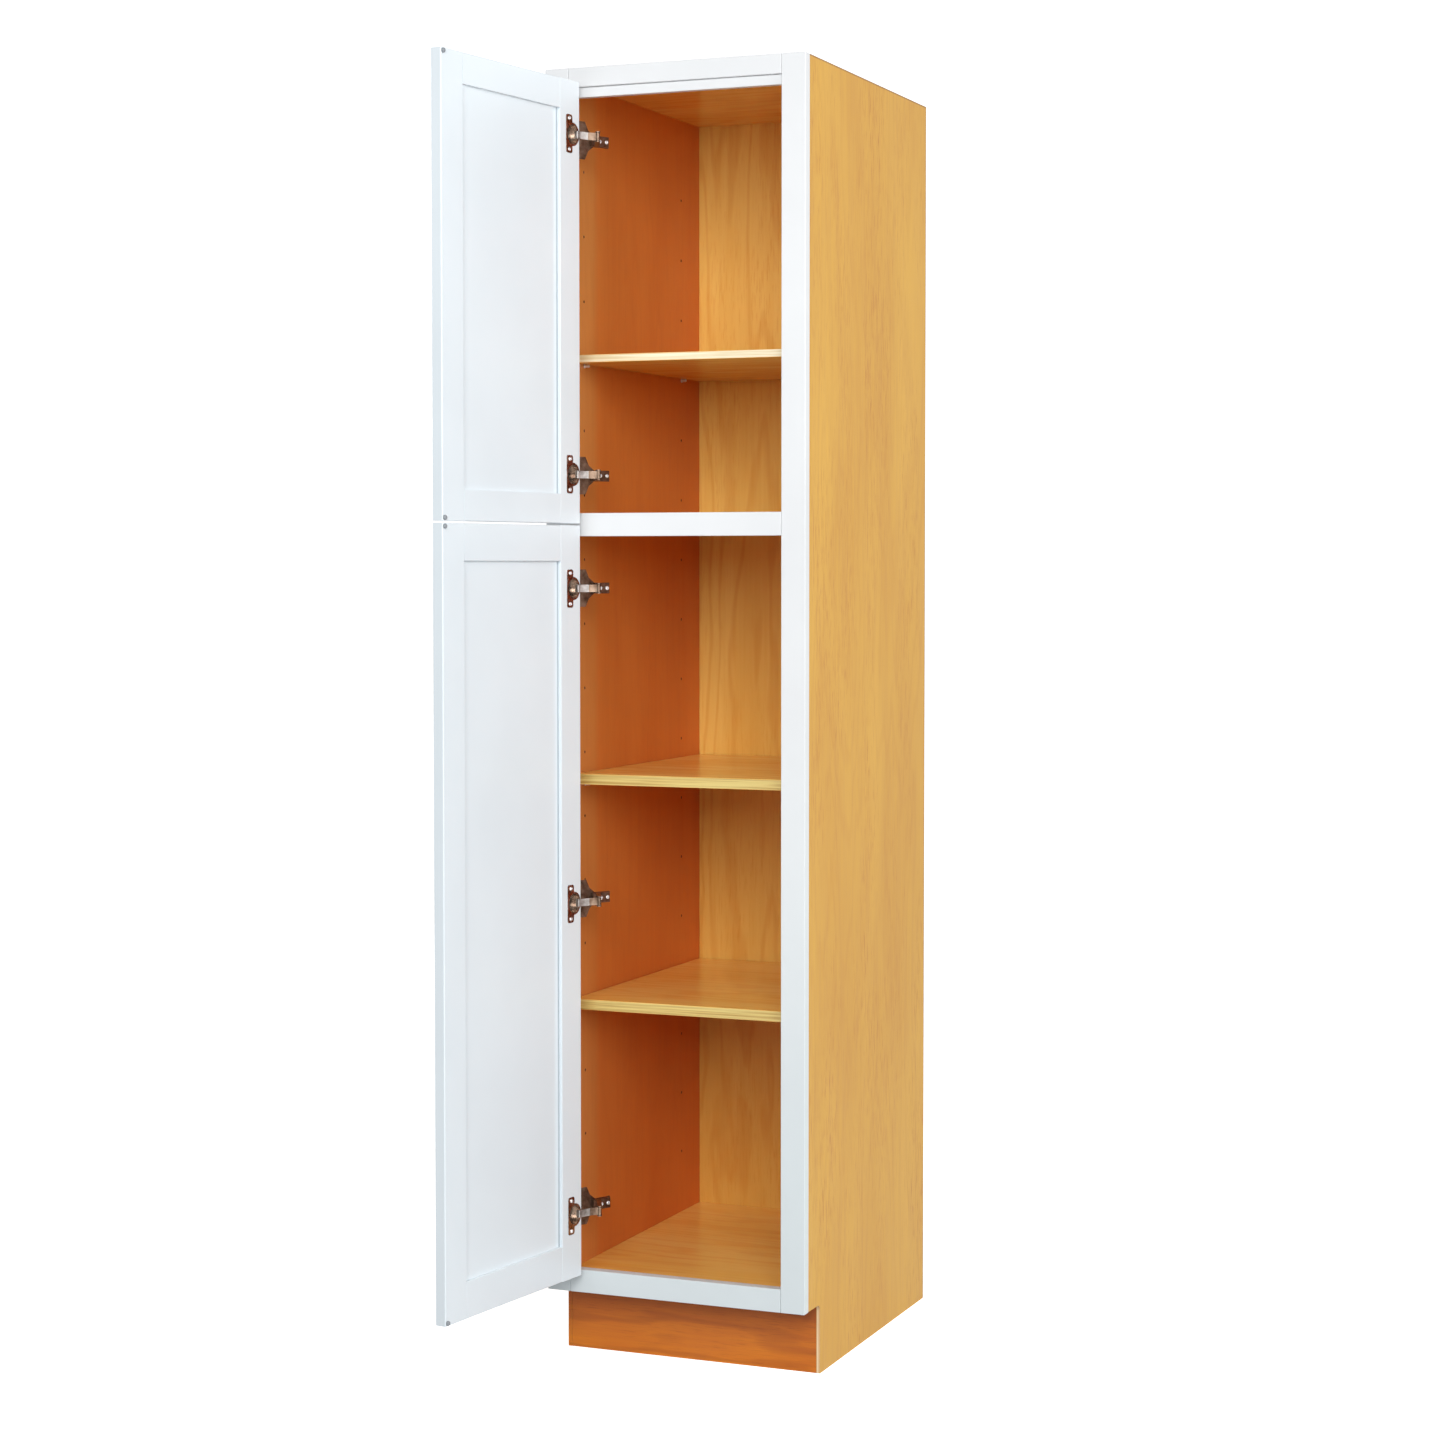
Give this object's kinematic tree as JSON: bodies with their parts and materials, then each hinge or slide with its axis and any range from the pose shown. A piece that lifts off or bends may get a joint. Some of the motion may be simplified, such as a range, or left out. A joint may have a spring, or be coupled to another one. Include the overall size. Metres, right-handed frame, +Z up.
{
  "type": "pantry cabinet",
  "caption": "Tall face-frame pantry cabinet with stacked left-hinged shaker doors, adjustable shelves and a recessed toe kick.",
  "frame": {"origin": "on the floor, under the middle of the toe board's bottom edge, on the cabinet's centreline", "axes": "+Z up; +X to the cabinet's right as its front is faced; +Y from the front to the back. Rest is both doors open."},
  "size_m": [0.4605, 1.0048, 2.1336],
  "materials": {
    "white_paint": "satin white paint over wood",
    "maple_veneer": "clear satin varnish on maple veneer plywood",
    "maple_interior": "clear semi-gloss varnish, warm interior maple",
    "toe_board_ply": "clear satin varnish on plywood",
    "shelf_board": "clear semi-gloss varnish, pale banded front edge",
    "nickel": "nickel plated pressed steel",
    "bright_steel": "bright zinc plated steel",
    "grey_bumper": "matt grey soft bumper"
  },
  "bodies": {
    "carcass": {"frame_stile_left": "white_paint", "frame_stile_right": "white_paint", "frame_rail_top": "white_paint", "frame_top_strip": "white_paint", "frame_rail_middle": "white_paint", "frame_rail_bottom": "white_paint", "side_left": "maple_veneer", "side_right": "maple_veneer", "bottom_panel": "maple_interior", "top_panel": "maple_interior", "fixed_deck": "maple_interior", "back_panel": "maple_interior", "toe_board": "toe_board_ply", "shelf_upper": "shelf_board", "shelf_middle": "shelf_board", "shelf_lower": "shelf_board", "shelf_upper_pin_left_front": "bright_steel", "shelf_upper_pin_left_rear": "bright_steel", "shelf_upper_pin_right_front": "bright_steel", "shelf_upper_pin_right_rear": "bright_steel", "shelf_middle_pin_left_front": "bright_steel", "shelf_middle_pin_left_rear": "bright_steel", "shelf_middle_pin_right_front": "bright_steel", "shelf_middle_pin_right_rear": "bright_steel", "shelf_lower_pin_left_front": "bright_steel", "shelf_lower_pin_left_rear": "bright_steel", "shelf_lower_pin_right_front": "bright_steel", "shelf_lower_pin_right_rear": "bright_steel", "upper_door_hinge_1_base": "nickel", "upper_door_hinge_2_base": "nickel", "lower_door_hinge_1_base": "nickel", "lower_door_hinge_2_base": "nickel", "lower_door_hinge_3_base": "nickel"},
    "upper_door": {"upper_door_stile_hinge": "white_paint", "upper_door_stile_free": "white_paint", "upper_door_rail_top": "white_paint", "upper_door_rail_bottom": "white_paint", "upper_door_panel": "white_paint", "upper_door_bumper_top": "grey_bumper", "upper_door_bumper_bottom": "grey_bumper", "upper_door_hinge_1_cup": "nickel", "upper_door_hinge_2_cup": "nickel"},
    "lower_door": {"lower_door_stile_hinge": "white_paint", "lower_door_stile_free": "white_paint", "lower_door_rail_top": "white_paint", "lower_door_rail_bottom": "white_paint", "lower_door_panel": "white_paint", "lower_door_bumper_top": "grey_bumper", "lower_door_bumper_bottom": "grey_bumper", "lower_door_hinge_1_cup": "nickel", "lower_door_hinge_2_cup": "nickel", "lower_door_hinge_3_cup": "nickel"},
    "upper_links": {"upper_door_hinge_1_link": "bright_steel", "upper_door_hinge_2_link": "bright_steel"},
    "lower_links": {"lower_door_hinge_1_link": "bright_steel", "lower_door_hinge_2_link": "bright_steel", "lower_door_hinge_3_link": "bright_steel"}
  },
  "joints": [
    {"name": "upper_door_hinge", "type": "hinge", "parent": "carcass", "child": "upper_door", "pos_m": [-0.1806, -0.10605, 1.748], "axis": [0, 0, 1], "range_deg": [-9, 98]},
    {"name": "lower_door_hinge", "type": "hinge", "parent": "carcass", "child": "lower_door", "pos_m": [-0.1806, -0.10605, 0.767], "axis": [0, 0, 1], "range_deg": [-9, 98]},
    {"name": "upper_link_pivot", "type": "hinge", "parent": "carcass", "child": "upper_links", "pos_m": [-0.1366, -0.07625, 1.748], "axis": [0, 0, 1], "range_deg": [-37, 4]},
    {"name": "lower_link_pivot", "type": "hinge", "parent": "carcass", "child": "lower_links", "pos_m": [-0.1366, -0.07625, 0.767], "axis": [0, 0, 1], "range_deg": [-37, 4]}
  ],
  "couplings": [
    {"joint": "upper_link_pivot", "follows": "upper_door_hinge", "ratio": -0.37},
    {"joint": "lower_link_pivot", "follows": "lower_door_hinge", "ratio": -0.37}
  ]
}
